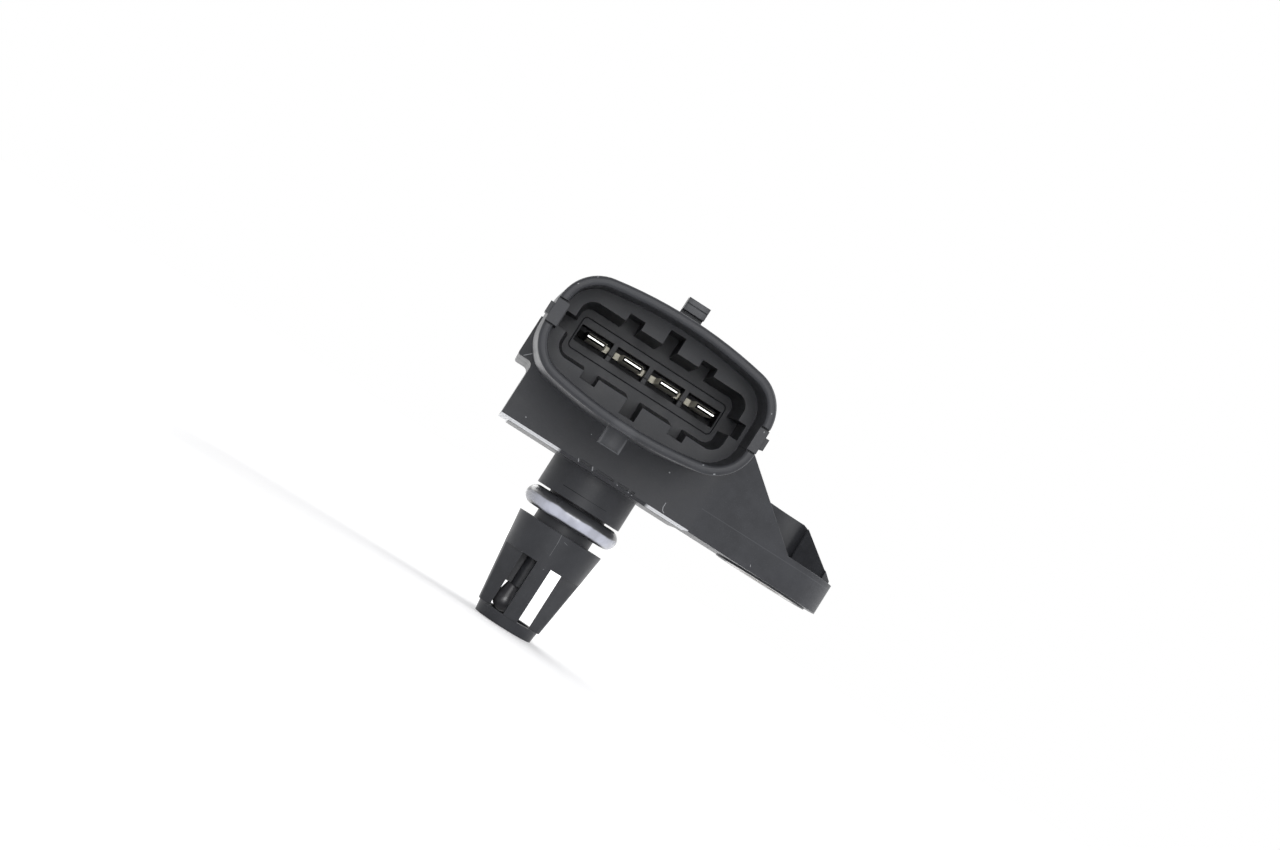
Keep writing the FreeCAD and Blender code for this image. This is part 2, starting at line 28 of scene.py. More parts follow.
# The photograph's camera, in the part's frame: place, heading, pitch and roll, the lens, and how far it sees.
EYE = Vector((-15.73, -240.01, -5.77)) * MM
HEADING_DEG = 4.02
PITCH_DEG = 3.46
ROLL_DEG = 32.38
SENSOR_MM = 36.0
LENS_MM = 52.91
NEAREST_SEEN = 0.01
FARTHEST_SEEN = 50.0

# Floor and world. The floor's lift is what it glows where it is seen, near the part and far from it.
FLOOR_HALF = 6.0
FLOOR_GAP = 0.02 * MM
FLOOR_COLOUR = (0.93, 0.93, 0.94, 1)
FLOOR_FIBRES = (0.95, 0.95, 0.955, 1)
FLOOR_FIBRE_SCALE = 300.0
FLOOR_ROUGHNESS = 0.9
FLOOR_SPECULAR = 0.1
FLOOR_LIFT_NEAR = 0.12
FLOOR_LIFT_FAR = 0.58
FLOOR_LIFT_REACH = (0.04, 0.30)
WORLD_FILL = 0.5

# Lamps. Their directions are given in the camera's own right, up and forward axes.
LAMPS = {
    "lamp_front": {"toward": (0.14, 0.1, -1.0), "away": 0.7, "size": 0.45, "watts": 4.3},
    "lamp_top": {"toward": (-0.2, 1.0, 1.0), "away": 0.7, "size": 0.6, "watts": 2.6},
    "lamp_right": {"toward": (1.0, 0.1, 0.1), "away": 0.6, "size": 0.4, "watts": 2.8},
}

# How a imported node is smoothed: facets nearer than the gap are joined, and edges over the angle stay sharp.
WELD_GAP = 0.0005 * MM
SHARP_ANGLE_DEG = 32

# Marks, lines and painted highlights on the faces that look to the front: start and end as (x, z) and width,
# all in mm.
BODY_SCRATCHES = (
    ((-11.92, 1.43), (-11.88, 1.43), 0.16),
    ((-3.77, 0.65), (-3.59, 0.29), 0.11),
    ((-1.76, 0.69), (-1.57, 0.29), 0.12),
    ((1.92, 0.44), (2.02, 0.40), 0.12),
    ((3.57, 0.38), (3.60, 0.38), 0.12),
    ((4.11, 0.30), (4.14, 0.30), 0.12),
    ((8.16, 1.77), (8.16, 1.13), 0.09),
    ((8.16, 1.13), (8.32, 0.76), 0.09),
    ((8.32, 0.76), (8.60, 0.61), 0.09),
    ((-16.17, 7.63), (-15.26, 8.48), 0.10),
    ((6.54, 5.15), (6.58, 5.15), 0.18),
    ((-4.05, 3.94), (-4.02, 3.94), 0.11),
    ((21.52, 0.81), (21.40, 1.00), 0.07),
    ((20.69, 8.45), (20.72, 8.45), 0.14),
)
RIM_SPECKS = (
    ((6.85, 6.66), (6.92, 6.70), 0.10),
    ((8.39, 6.44), (8.50, 6.52), 0.13),
    ((9.72, 7.22), (9.76, 7.27), 0.10),
    ((2.13, 5.00), (2.18, 5.00), 0.09),
    ((4.43, 5.22), (4.50, 5.24), 0.09),
    ((10.19, 15.47), (10.21, 15.40), 0.09),
    ((10.62, 13.38), (10.62, 13.28), 0.09),
    ((-15.35, 15.95), (-15.30, 16.02), 0.09),
    ((-13.94, 17.71), (-13.88, 17.76), 0.09),
)
COVER_SCRATCHES = (
    ((-0.16, -8.37), (-0.04, -9.64), 0.09),
    ((-0.04, -9.64), (-0.04, -11.4), 0.05),
    ((0.60, -9.00), (1.10, -9.10), 0.07),
    ((-1.25, -15.47), (-1.10, -15.50), 0.12),
    ((0.21, -13.24), (0.26, -13.20), 0.12),
    ((-3.18, -12.86), (-3.15, -12.80), 0.10),
)
# Painted highlights: a light band across the upper lug, and light left, right and bottom edges on the lower
# lug.
LUG_PAINTED_HIGHLIGHTS = (
    ((-2.58, 20.6), (-2.58, 21.4), 2.4),
    ((-3.87, 2.9), (-3.87, 4.6), 0.3),
    ((-1.29, 2.9), (-1.29, 4.6), 0.3),
    ((-3.9, 2.87), (-1.26, 2.87), 0.25),
)
# Painted light over the lower lug's face.
LUG_PAINTED_LIGHT = (((-2.58, 3.6), (-2.58, 4.6), 3.6),)
# A faint pale line along the flange's front, just under its top edge.
FLANGE_PALE_LINE = (((12.3, 3.57), (32.9, 3.76), 0.10),)
COVER_SEAM = (
    ((-3.30, -3.00), (-0.30, -3.00), 0.09),
    ((-0.30, -3.00), (3.00, -2.96), 0.05),
)

# Where marks and painted highlights may show, as nearest and farthest Y in mm: on the front walls, the collar's
# rim and the lugs.
FRONT_DEPTHS = (-11.7, -3.0)
RIM_DEPTHS = (-40.0, -34.8)
LUG_DEPTHS = (-40.0, -28.0)
DEPTH_FADE = 0.1 * MM

# A stroke is full up to the first share of its width from its middle line, and gone at the second.
STROKE_FADE = (0.25, 0.6)

# Colours of the plastic, its marks, wear and painted highlights, the pale painted floor reflection, the rubber
# and its painted reflection, and the tarnish and painted shade on the tabs, in linear light.
HOUSING_DARK = (0.0262, 0.0272, 0.0308, 1)
COVER_DARK = (0.0255, 0.0265, 0.0300, 1)
WORN_AND_HIGHLIGHT = (0.085, 0.088, 0.095, 1)
SCRATCH = (0.42, 0.43, 0.45, 1)
SEAM_SHADOW = (0.003, 0.003, 0.0035, 1)
PAINTED_FLOOR_REFLECTION = (0.6, 0.61, 0.63, 1)
RUBBER_BLACK = (0.042, 0.043, 0.047, 1)
RUBBER_PAINTED_REFLECTION = (0.44, 0.455, 0.53, 1)
SHOULDER_TARNISH = (0.62, 0.6, 0.52, 1)
SIDE_PAINTED_SHADE = (0.016, 0.016, 0.015, 1)
OUTER_PAINTED_SHADE = (0.012, 0.012, 0.012, 1)

# Marks and painted highlights on the two mouldings: strokes, where they may show, colour and strength.
BODY_MARKS_AND_HIGHLIGHTS = (
    (BODY_SCRATCHES, FRONT_DEPTHS, SCRATCH, 0.6),
    (RIM_SPECKS, RIM_DEPTHS, SCRATCH, 0.6),
    (LUG_PAINTED_HIGHLIGHTS, LUG_DEPTHS, WORN_AND_HIGHLIGHT, 0.6),
    (LUG_PAINTED_LIGHT, LUG_DEPTHS, WORN_AND_HIGHLIGHT, 0.3),
    (FLANGE_PALE_LINE, FRONT_DEPTHS, WORN_AND_HIGHLIGHT, 0.3),
)
COVER_MARKS = ((COVER_SCRATCHES, FRONT_DEPTHS, SCRATCH, 0.2),)
COVER_SHADOWS = ((COVER_SEAM, FRONT_DEPTHS, SEAM_SHADOW, 0.8),)

# Noise: where most of its values lie, and a wider span for roughness. Scales are in waves per metre.
NOISE_CORE = (0.35, 0.65)
NOISE_SPAN = (0.3, 0.7)

# Moulded plastic: its shine, mottle, flecks, edges lightened by wear and a painted highlight, and grain. A
# spread is added to a roughness.
HOUSING_ROUGHNESS = 0.42
COVER_ROUGHNESS = 0.40
PLASTIC_SPREAD = (-0.05, 0.06)
PLASTIC_SPECULAR = 0.2
MOTTLE_SCALE = 420.0
MOTTLE_PALER = 1.25
FLECK_SCALE = 9000.0
FLECK_BAND = (0.62, 0.78)
FLECK_SHARE = 0.35
EDGE_RADIUS = 0.12 * MM
EDGE_SAMPLES = 6
EDGE_BAND = (0.90, 0.995)
EDGE_WEAR_AND_HIGHLIGHT_SCALE = 900.0
EDGE_WEAR_AND_HIGHLIGHT_LEAST = 0.3
EDGE_WEAR_AND_HIGHLIGHT_SHARE = 0.45
GRAIN_SCALE = 5200.0
GRAIN_DEPTH = 0.02 * MM
GRAIN_STRENGTH = 0.35
COARSE_GRAIN = 6
COARSE_SHARE = 0.6

# The pale line, a painted reflection of the white floor: past the spigot's side, up to its right end, on the
# lid's and the body's bevels.
SPIGOT_SIDE = (6.1 * MM, 6.6 * MM)
PALE_LINE_END = (12.2 * MM, 12.4 * MM)
LID_BEVEL = (0.02 * MM, 0.05 * MM)
BODY_BEVEL_TOP = (0.4 * MM, 0.43 * MM)

# The pale painted reflection of the white floor on the ring's lower part: its foot and top as shares of the
# ring's height, and where it thins out along X.
RING_REFLECTION_FOOT = (0.06, 0.15)
RING_REFLECTION_TOP = (0.54, 0.62)
RING_REFLECTION_LEFT = (-6.5 * MM, -3.8 * MM)
RING_REFLECTION_LEFT_SHARE = 0.3
RING_REFLECTION_RIGHT = (5.4 * MM, 6.6 * MM)
RING_REFLECTION_RIGHT_SHARE = 0.6
SMEAR_SCALE = 260.0
SMEAR_HEIGHT = 0.06
STREAK_SCALE = 520.0
STREAK_BAND = (0.42, 0.62)
STREAK_SHARE = 0.75
RUBBER_ROUGHNESS = (0.26, 0.40)
RUBBER_COAT = 0.4
RUBBER_COAT_ROUGHNESS = 0.12
RUBBER_GRAIN_SCALE = 2600.0
RUBBER_GRAIN_DEPTH = 0.01 * MM
RUBBER_GRAIN_STRENGTH = 0.25

# The tabs: the row's middle, where the outermost shoulders start, whose painted shade blackens them, and the
# bright band at the end of each tip, past which the sides get painted shade.
TAB_ROW_X = -2.58 * MM
OUTER_TAB = (8.4 * MM, 8.6 * MM)
TIP_BAND = (0.06 * MM, 0.09 * MM)
TIP_DEPTH = (0.02 * MM, 0.05 * MM)
TIP_SLICE = 0.05 * MM
SHOULDER_STEP = 0.15 * MM
SHOULDER_FADE = 0.1 * MM
DULL_ROUGHNESS = 0.7

# Metals by material slot: a colour that clouds into a darker one, and fine lines drawn out by the stretch.
METALS = {
    "tin_plate": {"colour": (0.46, 0.46, 0.45, 1), "dark": (0.36, 0.36, 0.35, 1), "roughness": 0.22,
                  "line_scale": 1500.0, "stretch": (1, 0.1, 1)},
    "bush_metal": {"colour": (0.42, 0.41, 0.40, 1), "dark": (0.28, 0.27, 0.26, 1), "roughness": 0.38,
                   "line_scale": 1800.0, "stretch": (1, 1, 0.1)},
    "lead_wire": {"colour": (0.7, 0.68, 0.63, 1), "dark": (0.5, 0.48, 0.44, 1), "roughness": 0.3,
                  "line_scale": 3000.0, "stretch": (1, 1, 0.1)},
    "die_silicon": {"colour": (0.3, 0.31, 0.36, 1), "dark": (0.24, 0.25, 0.3, 1), "roughness": 0.14,
                    "line_scale": 1500.0, "stretch": (1, 1, 1)},
    "wire_metal": {"colour": (0.85, 0.85, 0.85, 1), "dark": (0.7, 0.7, 0.7, 1), "roughness": 0.2,
                   "line_scale": 5000.0, "stretch": (1, 1, 1)},
}
CLOUD_SCALE = 700.0
CLOUD_BAND = (0.35, 0.7)
METAL_SPREAD = (-0.06, 0.08)
METAL_EDGE = 0.06 * MM
LINE_DEPTH = 0.005 * MM
LINE_STRENGTH = 0.3

# Resins, ceramics and glass that can't be seen into, by material slot: a colour with spots of another.
SPECKLED = {
    "bead_glass": {"colour": (0.045, 0.045, 0.05, 1), "spots": (0.058, 0.058, 0.063, 1),
                   "roughness": 0.34, "scale": 1200.0, "coat": 0.2},
    "sleeve_plastic": {"colour": (0.5, 0.47, 0.4, 1), "spots": (0.42, 0.4, 0.33, 1),
                       "roughness": 0.5, "scale": 1500.0},
    "board_ceramic": {"colour": (0.8, 0.8, 0.78, 1), "spots": (0.74, 0.74, 0.72, 1),
                      "roughness": 0.4, "scale": 2500.0},
    "frame_plastic": {"colour": (0.2, 0.21, 0.23, 1), "spots": (0.17, 0.18, 0.2, 1),
                      "roughness": 0.5, "scale": 2500.0},
    "chip_resin": {"colour": (0.02, 0.02, 0.022, 1), "spots": (0.03, 0.03, 0.032, 1),
                   "roughness": 0.55, "scale": 6000.0},
    "chip_ceramic": {"colour": (0.4, 0.29, 0.2, 1), "spots": (0.34, 0.25, 0.17, 1),
                     "roughness": 0.5, "scale": 4000.0},
    "sealant": {"colour": (0.25, 0.25, 0.26, 1), "spots": (0.2, 0.2, 0.21, 1),
                "roughness": 0.45, "scale": 1500.0},
}
SPOT_BAND = (0.4, 0.65)
SPECKLED_SPREAD = (-0.04, 0.08)
SPECKLED_EDGE = 0.05 * MM
SPECKLE_DEPTH = 0.008 * MM
SPECKLE_STRENGTH = 0.25

# Clear inner pieces, by material slot.
CLEAR = {
    "cell_glass": {"colour": (0.8, 0.85, 0.83, 1), "roughness": 0.15},
    "gel": {"colour": (0.9, 0.92, 0.94, 1), "roughness": 0.05},
}
CLEAR_TRANSMISSION = 0.85
CLEAR_SPREAD = (0.0, 0.1)
HAZE_SCALE = 900.0
HAZE_DARKER = 0.9


class Nodes:
    """A material's node tree, with short calls for adding and joining nodes."""

    def __init__(self, name):
        self.material = bpy.data.materials.new(name)
        self.material.use_nodes = True
        self.tree = self.material.node_tree
        self.shader = self.tree.nodes["Principled BSDF"]
        self.place = self.add("ShaderNodeTexCoord").outputs["Object"]
        self.x, self.y, self.z = self.parts(self.place)

    def add(self, kind, **settings):
        node = self.tree.nodes.new(kind)
        for key, value in settings.items():
            setattr(node, key, value)
        return node

    def join(self, source, target):
        self.tree.links.new(source, target)

    def parts(self, vector):
        split = self.add("ShaderNodeSeparateXYZ")
        self.join(vector, split.inputs[0])
        return split.outputs[0], split.outputs[1], split.outputs[2]

    def vector(self, operation, a, b):
        node = self.add("ShaderNodeVectorMath", operation=operation)
        for socket, value in zip(node.inputs, (a, b)):
            if isinstance(value, Vector):
                socket.default_value = value
            else:
                self.join(value, socket)
        return node.outputs["Value" if operation in ("DOT_PRODUCT", "DISTANCE") else "Vector"]

    def noise(self, scale, detail=2.0, roughness=0.5, place=None):
        node = self.add("ShaderNodeTexNoise")
        node.inputs["Scale"].default_value = scale
        node.inputs["Detail"].default_value = detail
        node.inputs["Roughness"].default_value = roughness
        self.join(place or self.place, node.inputs["Vector"])
        return node.outputs["Fac"]

    def remap(self, source, low, high, to_low=0.0, to_high=1.0, smooth=False):
        node = self.add("ShaderNodeMapRange", interpolation_type="SMOOTHSTEP" if smooth else "LINEAR")
        for key, value in (("From Min", low), ("From Max", high), ("To Min", to_low), ("To Max", to_high)):
            node.inputs[key].default_value = value
        self.join(source, node.inputs["Value"])
        return node.outputs["Result"]

    def math(self, operation, a, b=0.0):
        node = self.add("ShaderNodeMath", operation=operation)
        for socket, value in zip(node.inputs, (a, b)):
            if isinstance(value, (int, float)):
                socket.default_value = value
            else:
                self.join(value, socket)
        return node.outputs["Value"]

    def blend(self, factor, first, second):
        node = self.add("ShaderNodeMix", data_type="RGBA")
        self.join(factor, node.inputs["Factor"])
        for key, value in (("A", first), ("B", second)):
            socket = [s for s in node.inputs if s.name == key and s.type == "RGBA"][0]
            if isinstance(value, tuple):
                socket.default_value = value
            else:
                self.join(value, socket)
        return [s for s in node.outputs if s.type == "RGBA"][0]

    def stroke(self, start, end, width):
        """1 on a soft stroke between two (x, z) places in mm, seen along Y, and 0 elsewhere."""
        first = Vector((start[0], 0, start[1])) * MM
        span = Vector((end[0], 0, end[1])) * MM - first
        flat = self.vector("MULTIPLY", self.place, Vector((1, 0, 1)))
        away = self.vector("SUBTRACT", flat, first)
        reach = self.remap(self.vector("DOT_PRODUCT", away, span.normalized()), 0.0, span.length)
        foot = self.add("ShaderNodeVectorMath", operation="SCALE")
        foot.inputs[0].default_value = span
        self.join(reach, foot.inputs["Scale"])
        gap = self.vector("DISTANCE", away, foot.outputs["Vector"])
        full, gone = (share * width * MM for share in STROKE_FADE)
        return self.remap(gap, full, gone, 1.0, 0.0, smooth=True)

    def strokes(self, marks, depths):
        """All strokes of a list, on the faces between the nearest and the farthest Y in mm only."""
        total = 0.0
        for start, end, width in marks:
            total = self.math("MAXIMUM", self.stroke(start, end, width), total)
        nearest, farthest = (depth * MM for depth in depths)
        before = self.remap(self.y, farthest - DEPTH_FADE, farthest, 1.0, 0.0)
        behind = self.remap(self.y, nearest, nearest + DEPTH_FADE)
        return self.math("MULTIPLY", total, self.math("MULTIPLY", before, behind))

    def soft_normal(self, radius):
        node = self.add("ShaderNodeBevel", samples=EDGE_SAMPLES)
        node.inputs["Radius"].default_value = radius
        return node.outputs["Normal"]

    def edge_mask(self, soft, low, high):
        """1 along edges, where the rounded normal leaves the true one, and 0 on open faces."""
        true_normal = self.add("ShaderNodeNewGeometry").outputs["Normal"]
        dot = self.add("ShaderNodeVectorMath", operation="DOT_PRODUCT")
        self.join(soft, dot.inputs[0])
        self.join(true_normal, dot.inputs[1])
        return self.remap(dot.outputs["Value"], high, low, smooth=True)

    def bump(self, height, distance, strength, under=None):
        node = self.add("ShaderNodeBump")
        node.inputs["Distance"].default_value = distance
        node.inputs["Strength"].default_value = strength
        self.join(height, node.inputs["Height"])
        if under is not None:
            self.join(under, node.inputs["Normal"])
        return node.outputs["Normal"]

    def uneven(self, noise, roughness, spread):
        """A roughness that wanders with a noise between the two ends of the spread."""
        return self.remap(noise, *NOISE_SPAN, roughness + spread[0], roughness + spread[1])


def scaled(colour, share):
    return tuple(share * c for c in colour[:3]) + (1,)


def moulded_plastic(name, colour, roughness, marks_and_highlights, dark_marks, reflection_line):
    """Dark moulded plastic: mottled, flecked, worn along its edges with a painted edge highlight, with marks,
    painted highlights and a pale line of painted floor reflection.
    """
    n = Nodes(name)
    soft = n.soft_normal(EDGE_RADIUS)
    mottle = n.noise(MOTTLE_SCALE, detail=4.0, roughness=0.6)
    fleck = n.remap(n.noise(FLECK_SCALE), *FLECK_BAND, 0.0, FLECK_SHARE, smooth=True)
    base = n.blend(n.remap(mottle, *NOISE_CORE), colour, scaled(colour, MOTTLE_PALER))
    base = n.blend(fleck, base, WORN_AND_HIGHLIGHT)
    # Edges are lightened by wear and by a painted edge highlight.
    edges = n.edge_mask(soft, *EDGE_BAND)
    wear_and_highlight = n.remap(n.noise(EDGE_WEAR_AND_HIGHLIGHT_SCALE, detail=3.0), *NOISE_SPAN, EDGE_WEAR_AND_HIGHLIGHT_LEAST, 1.0)
    base = n.blend(n.math("MULTIPLY", n.math("MULTIPLY", edges, wear_and_highlight), EDGE_WEAR_AND_HIGHLIGHT_SHARE), base, WORN_AND_HIGHLIGHT)
    # Light marks: scratches and specks, and painted highlights on the lugs.
    for marks, depths, mark_colour, strength in marks_and_highlights:
        base = n.blend(n.math("MULTIPLY", n.strokes(marks, depths), strength), base, mark_colour)
    n.shader.inputs["Specular IOR Level"].default_value = PLASTIC_SPECULAR
    for marks, depths, mark_colour, strength in dark_marks:
        shade = n.math("MULTIPLY", n.strokes(marks, depths), strength)
        base = n.blend(shade, base, mark_colour)
        n.join(n.remap(shade, 0.0, 1.0, PLASTIC_SPECULAR, 0.0), n.shader.inputs["Specular IOR Level"])
    # A pale painted reflection of the white floor along the bevels.
    base = n.blend(reflection_line(n), base, PAINTED_FLOOR_REFLECTION)
    n.join(base, n.shader.inputs["Base Color"])
    n.join(n.uneven(mottle, roughness, PLASTIC_SPREAD), n.shader.inputs["Roughness"])
    fine = n.noise(GRAIN_SCALE, detail=3.0, roughness=0.65)
    coarse = n.math("MULTIPLY", n.noise(GRAIN_SCALE / COARSE_GRAIN), COARSE_SHARE)
    grain = n.math("ADD", fine, coarse)
    n.join(n.bump(grain, GRAIN_DEPTH, GRAIN_STRENGTH, soft), n.shader.inputs["Normal"])
    return n.material


def beside_spigot(n):
    """1 where the painted floor reflection along the port cover's seam shows past the spigot, 0 in front of it
    and on the flange.
    """
    side = n.remap(n.math("ABSOLUTE", n.x), *SPIGOT_SIDE)
    return n.math("MULTIPLY", side, n.remap(n.x, *PALE_LINE_END, 1.0, 0.0))


def cover_reflection_line(n):
    """The lid's bevelled edge, where a pale painted reflection of the white floor shows."""
    return n.math("MULTIPLY", beside_spigot(n), n.remap(n.z, *LID_BEVEL))


def body_reflection_line(n):
    """The bevel along the lower front edge of the body, above the lid, where a pale painted reflection of the
    white floor shows.
    """
    return n.math("MULTIPLY", beside_spigot(n), n.remap(n.z, *BODY_BEVEL_TOP, 1.0, 0.0))


def ring_rubber(bottom, top):
    """Black rubber whose lower part has a pale painted reflection of the white floor, with a dark line at its
    foot where that painted reflection stops.
    """
    n = Nodes("ring_rubber")
    smear = n.noise(SMEAR_SCALE, detail=3.0)
    smeared = n.remap(smear, *NOISE_SPAN, -SMEAR_HEIGHT, SMEAR_HEIGHT)
    height = n.math("ADD", n.remap(n.z, bottom, top), smeared)
    # A pale painted reflection of the white floor on the ring's lower part, broken by streaks and thinning at
    # its ends.
    painted_sheen = n.math("MULTIPLY", n.remap(height, *RING_REFLECTION_TOP, 1.0, 0.0, smooth=True),
                 n.remap(height, *RING_REFLECTION_FOOT, smooth=True))
    streak = n.remap(n.noise(STREAK_SCALE, detail=3.0), *STREAK_BAND, 1.0, STREAK_SHARE)
    left_end = n.remap(n.x, *RING_REFLECTION_LEFT, RING_REFLECTION_LEFT_SHARE, 1.0)
    right_end = n.remap(n.x, *RING_REFLECTION_RIGHT, 1.0, RING_REFLECTION_RIGHT_SHARE)
    painted_sheen = n.math("MULTIPLY", n.math("MULTIPLY", painted_sheen, streak), n.math("MULTIPLY", left_end, right_end))
    n.join(n.blend(painted_sheen, RUBBER_BLACK, RUBBER_PAINTED_REFLECTION), n.shader.inputs["Base Color"])
    n.join(n.remap(smear, *NOISE_CORE, *RUBBER_ROUGHNESS), n.shader.inputs["Roughness"])
    n.shader.inputs["Coat Weight"].default_value = RUBBER_COAT
    n.shader.inputs["Coat Roughness"].default_value = RUBBER_COAT_ROUGHNESS
    grain = n.noise(RUBBER_GRAIN_SCALE, detail=3.0)
    n.join(n.bump(grain, RUBBER_GRAIN_DEPTH, RUBBER_GRAIN_STRENGTH), n.shader.inputs["Normal"])
    return n.material


def metal(name, colour, dark, roughness, line_scale, stretch, shade=None):
    """Metal with clouds and fine drawn lines. shade changes the colour, and says where the metal is dull."""
    n = Nodes(name)
    spread = n.add("ShaderNodeMapping")
    spread.inputs["Scale"].default_value = stretch
    n.join(n.place, spread.inputs["Vector"])
    lines = n.noise(line_scale, detail=3.0, roughness=0.6, place=spread.outputs["Vector"])
    cloud = n.noise(CLOUD_SCALE, detail=3.0)
    n.shader.inputs["Metallic"].default_value = 1.0
    base = n.blend(n.remap(cloud, *CLOUD_BAND), colour, dark)
    rough = n.uneven(lines, roughness, METAL_SPREAD)
    if shade is not None:
        base, dull = shade(n, base)
        rough = n.math("MAXIMUM", rough, n.math("MULTIPLY", dull, DULL_ROUGHNESS))
    n.join(base, n.shader.inputs["Base Color"])
    n.join(rough, n.shader.inputs["Roughness"])
    n.join(n.bump(lines, LINE_DEPTH, LINE_STRENGTH, n.soft_normal(METAL_EDGE)), n.shader.inputs["Normal"])
    return n.material


def tab_tarnish_and_shade(n, base, tip):
    """Bright tin at the end of each tip, painted shade on the sides behind it, dull tarnished shoulders, and
    painted shade that blackens the outermost ones.
    """
    end_y, middle_z, shoulder_y = tip
    before = n.remap(n.y, shoulder_y - SHOULDER_FADE, shoulder_y, 1.0, 0.0)
    off_middle = n.math("ABSOLUTE", n.math("SUBTRACT", n.z, middle_z))
    depth = n.math("SUBTRACT", n.y, end_y)
    # Past the bright band at the tip's end, its sides get painted shade.
    side = n.math("MAXIMUM", n.remap(off_middle, *TIP_BAND), n.remap(depth, *TIP_DEPTH))
    dark = n.math("MULTIPLY", before, side)
    shoulder = n.math("SUBTRACT", 1.0, before)
    from_middle = n.math("ABSOLUTE", n.math("SUBTRACT", n.x, TAB_ROW_X))
    # Painted shade blackens the outermost shoulders.
    outer = n.remap(from_middle, *OUTER_TAB)
    colour = n.blend(shoulder, n.blend(dark, base, SIDE_PAINTED_SHADE), SHOULDER_TARNISH)
    colour = n.blend(n.math("MULTIPLY", outer, shoulder), colour, OUTER_PAINTED_SHADE)
    return colour, n.math("MAXIMUM", dark, shoulder)


def speckled(name, colour, spots, roughness, scale, coat=0.0):
    """A closed surface with spots of another colour, and with a clear coat where it is glazed."""
    n = Nodes(name)
    pattern = n.noise(scale, detail=4.0, roughness=0.6)
    n.join(n.blend(n.remap(pattern, *SPOT_BAND), colour, spots), n.shader.inputs["Base Color"])
    n.join(n.uneven(pattern, roughness, SPECKLED_SPREAD), n.shader.inputs["Roughness"])
    n.shader.inputs["Coat Weight"].default_value = coat
    soft = n.soft_normal(SPECKLED_EDGE)
    n.join(n.bump(pattern, SPECKLE_DEPTH, SPECKLE_STRENGTH, soft), n.shader.inputs["Normal"])
    return n.material


def clear_solid(name, colour, roughness):
    """Glass or gel that lets most light through, with a faint haze."""
    n = Nodes(name)
    haze = n.noise(HAZE_SCALE, detail=3.0)
    n.shader.inputs["Transmission Weight"].default_value = CLEAR_TRANSMISSION
    n.join(n.blend(haze, colour, scaled(colour, HAZE_DARKER)), n.shader.inputs["Base Color"])
    n.join(n.uneven(haze, roughness, CLEAR_SPREAD), n.shader.inputs["Roughness"])
    return n.material


def height_range(piece):
    heights = [(piece.matrix_world @ v.co).z for v in piece.data.vertices]
    return min(heights), max(heights)


def tab_tip(piece):
    """End and middle height of a tab's tip, and where its wider shoulder starts."""
    places = [piece.matrix_world @ v.co for v in piece.data.vertices]
    end = min(p.y for p in places)
    tip = [p for p in places if p.y < end + TIP_SLICE]
    middle_x = (min(p.x for p in tip) + max(p.x for p in tip)) / 2
    half_width = max(p.x for p in tip) - middle_x
    shoulder = min(p.y for p in places if abs(p.x - middle_x) > half_width + SHOULDER_STEP)
    return end, (min(p.z for p in tip) + max(p.z for p in tip)) / 2, shoulder


def make_finishes(nodes):
    """One material for each material slot of the record."""
    tip = tab_tip(nodes["terminal_1"])
    shades = {"tin_plate": lambda n, base: tab_tarnish_and_shade(n, base, tip)}
    finishes = {
        "body_plastic": moulded_plastic("body_plastic", HOUSING_DARK, HOUSING_ROUGHNESS, BODY_MARKS_AND_HIGHLIGHTS, (),
                                        body_reflection_line),
        "cover_plastic": moulded_plastic("cover_plastic", COVER_DARK, COVER_ROUGHNESS, COVER_MARKS,
                                         COVER_SHADOWS, cover_reflection_line),
        "ring_rubber": ring_rubber(*height_range(nodes["o_ring"])),
    }
    for slot, look in METALS.items():
        finishes[slot] = metal(slot, shade=shades.get(slot), **look)
    for slot, look in SPECKLED.items():
        finishes[slot] = speckled(slot, **look)
    for slot, look in CLEAR.items():
        finishes[slot] = clear_solid(slot, **look)
    return finishes


def smooth_faces(piece):
    """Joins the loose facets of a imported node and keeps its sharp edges, without touching the mesh itself."""
    piece.data.shade_smooth()
    weld = piece.modifiers.new("weld", "WELD")
    weld.merge_threshold = WELD_GAP
    split = piece.modifiers.new("split", "EDGE_SPLIT")
    split.split_angle = math.radians(SHARP_ANGLE_DEG)


def paint(piece, material):
    piece.data.materials.clear()
    piece.data.materials.append(material)


def camera_axes():
    """The camera's right, up and forward directions in the part's frame."""
    heading, pitch, roll = (math.radians(a) for a in (HEADING_DEG, PITCH_DEG, ROLL_DEG))
    level_share = math.cos(pitch)
    forward = Vector((math.sin(heading) * level_share, math.cos(heading) * level_share, math.sin(pitch)))
    level = Vector((math.cos(heading), -math.sin(heading), 0))
    lift = level.cross(forward)
    right = level * math.cos(roll) + lift * math.sin(roll)
    up = lift * math.cos(roll) - level * math.sin(roll)
    return right, up, forward


def facing(axis_x, axis_y, axis_z, place):
    turn = Matrix((axis_x, axis_y, axis_z)).transposed().to_4x4()
    return Matrix.Translation(place) @ turn


def add_camera():
    data = bpy.data.cameras.new("camera")
    data.sensor_width = SENSOR_MM
    data.lens = LENS_MM
    data.clip_start = NEAREST_SEEN
    data.clip_end = FARTHEST_SEEN
    camera = bpy.data.objects.new("camera", data)
    right, up, forward = camera_axes()
    camera.matrix_world = facing(right, up, -forward, EYE)
    bpy.context.scene.collection.objects.link(camera)
    bpy.context.scene.camera = camera


def add_lamps(centre):
    right, up, forward = camera_axes()
    for name, lamp in LAMPS.items():
        r, u, f = lamp["toward"]
        toward = (right * r + up * u + forward * f).normalized()
        data = bpy.data.lights.new(name, "AREA")
        data.size = lamp["size"]
        data.energy = lamp["watts"]
        item = bpy.data.objects.new(name, data)
        item.location = centre + toward * lamp["away"]
        item.rotation_mode = "QUATERNION"
        item.rotation_quaternion = toward.to_track_quat("Z", "Y")
        bpy.context.scene.collection.objects.link(item)


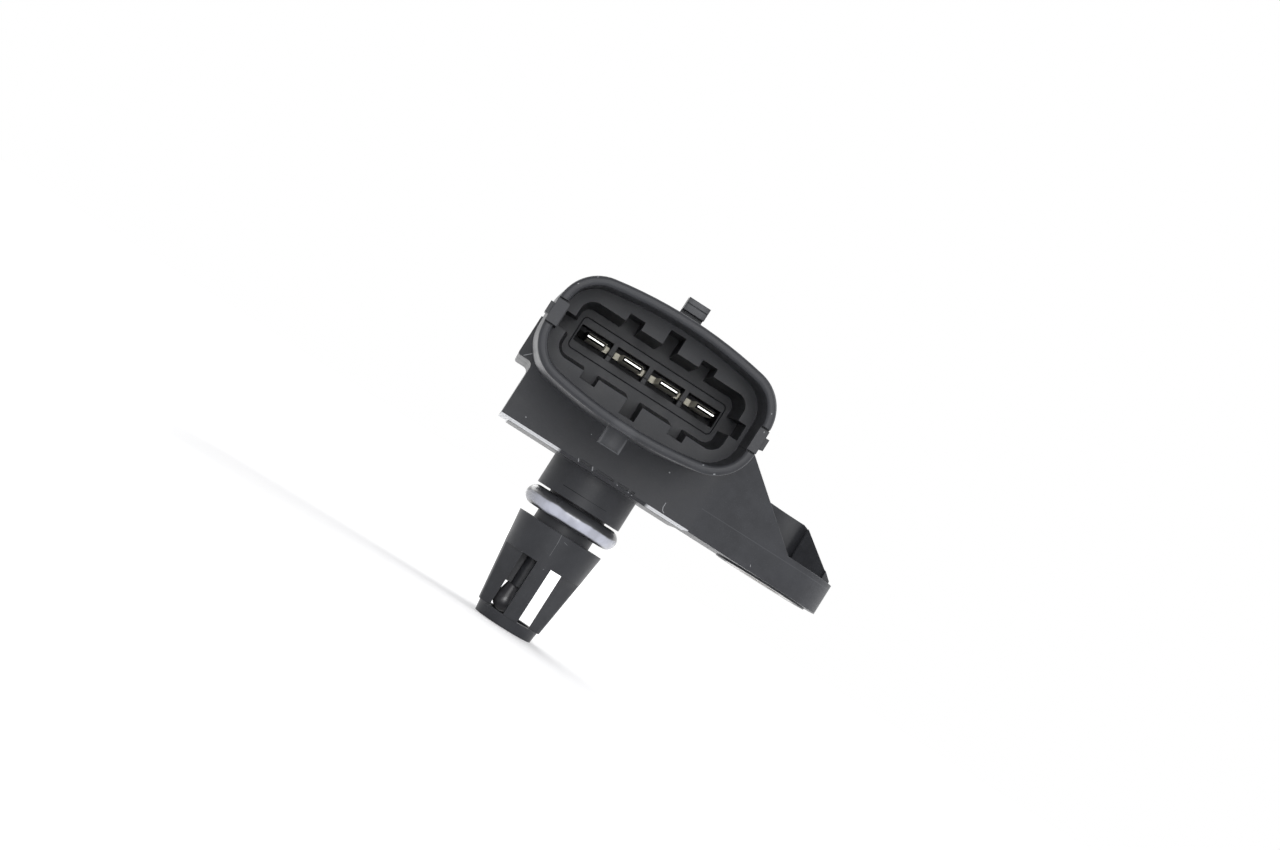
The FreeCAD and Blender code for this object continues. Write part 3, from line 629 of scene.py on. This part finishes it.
def seen_directly(tree):
    """1 for camera, glossy and transmission rays, 0 for the rays that light the object."""
    path = tree.nodes.new("ShaderNodeLightPath")
    seen = path.outputs["Is Camera Ray"]
    for key in ("Is Glossy Ray", "Is Transmission Ray"):
        either = tree.nodes.new("ShaderNodeMath")
        either.operation = "MAXIMUM"
        tree.links.new(seen, either.inputs[0])
        tree.links.new(path.outputs[key], either.inputs[1])
        seen = either.outputs["Value"]
    return seen


def add_world():
    """White where it is seen, and a weaker white for the rays that light the object."""
    world = bpy.data.worlds.new("studio")
    bpy.context.scene.world = world
    world.use_nodes = True
    tree = world.node_tree
    background = tree.nodes["Background"]
    background.inputs["Color"].default_value = WHITE
    level = tree.nodes.new("ShaderNodeMapRange")
    level.inputs["To Min"].default_value = WORLD_FILL
    level.inputs["To Max"].default_value = 1.0
    tree.links.new(seen_directly(tree), level.inputs["Value"])
    tree.links.new(level.outputs["Result"], background.inputs["Strength"])


def floor_paper(height):
    """White paper that keeps the shadow near the part and is lifted to plain white far from it."""
    n = Nodes("floor_paper")
    fibre = n.noise(FLOOR_FIBRE_SCALE)
    n.join(n.blend(fibre, FLOOR_COLOUR, FLOOR_FIBRES), n.shader.inputs["Base Color"])
    n.shader.inputs["Roughness"].default_value = FLOOR_ROUGHNESS
    n.shader.inputs["Specular IOR Level"].default_value = FLOOR_SPECULAR
    n.shader.inputs["Emission Color"].default_value = WHITE
    away = n.vector("DISTANCE", n.place, Vector((0, 0, height)))
    lift = n.remap(away, *FLOOR_LIFT_REACH, FLOOR_LIFT_NEAR, FLOOR_LIFT_FAR, smooth=True)
    n.join(n.math("MULTIPLY", seen_directly(n.tree), lift), n.shader.inputs["Emission Strength"])
    return n.material


def add_floor(height):
    mesh = bpy.data.meshes.new("floor")
    h = FLOOR_HALF
    mesh.from_pydata([(-h, -h, height), (h, -h, height), (h, h, height), (-h, h, height)], [], [(0, 1, 2, 3)])
    mesh.materials.append(floor_paper(height))
    floor = bpy.data.objects.new("floor", mesh)
    bpy.context.scene.collection.objects.link(floor)


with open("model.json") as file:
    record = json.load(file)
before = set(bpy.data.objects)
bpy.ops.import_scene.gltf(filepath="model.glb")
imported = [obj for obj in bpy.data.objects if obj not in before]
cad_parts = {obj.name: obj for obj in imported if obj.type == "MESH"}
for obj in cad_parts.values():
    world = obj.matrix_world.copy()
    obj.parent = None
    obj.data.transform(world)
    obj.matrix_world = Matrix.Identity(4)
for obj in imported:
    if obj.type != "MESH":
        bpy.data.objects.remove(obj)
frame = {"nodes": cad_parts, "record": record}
cad_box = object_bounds()
slot_of = {part["node"]: part["material_slot"] for part in frame["record"]["subparts"]}
finishes = make_finishes(frame["nodes"])
for node_name, piece in frame["nodes"].items():
    smooth_faces(piece)
    paint(piece, finishes[slot_of[node_name]])

low, high = cad_box
add_camera()
add_world()
add_lamps((low + high) / 2)
add_floor(low.z - FLOOR_GAP)
bpy.context.scene.view_settings.view_transform = "Standard"
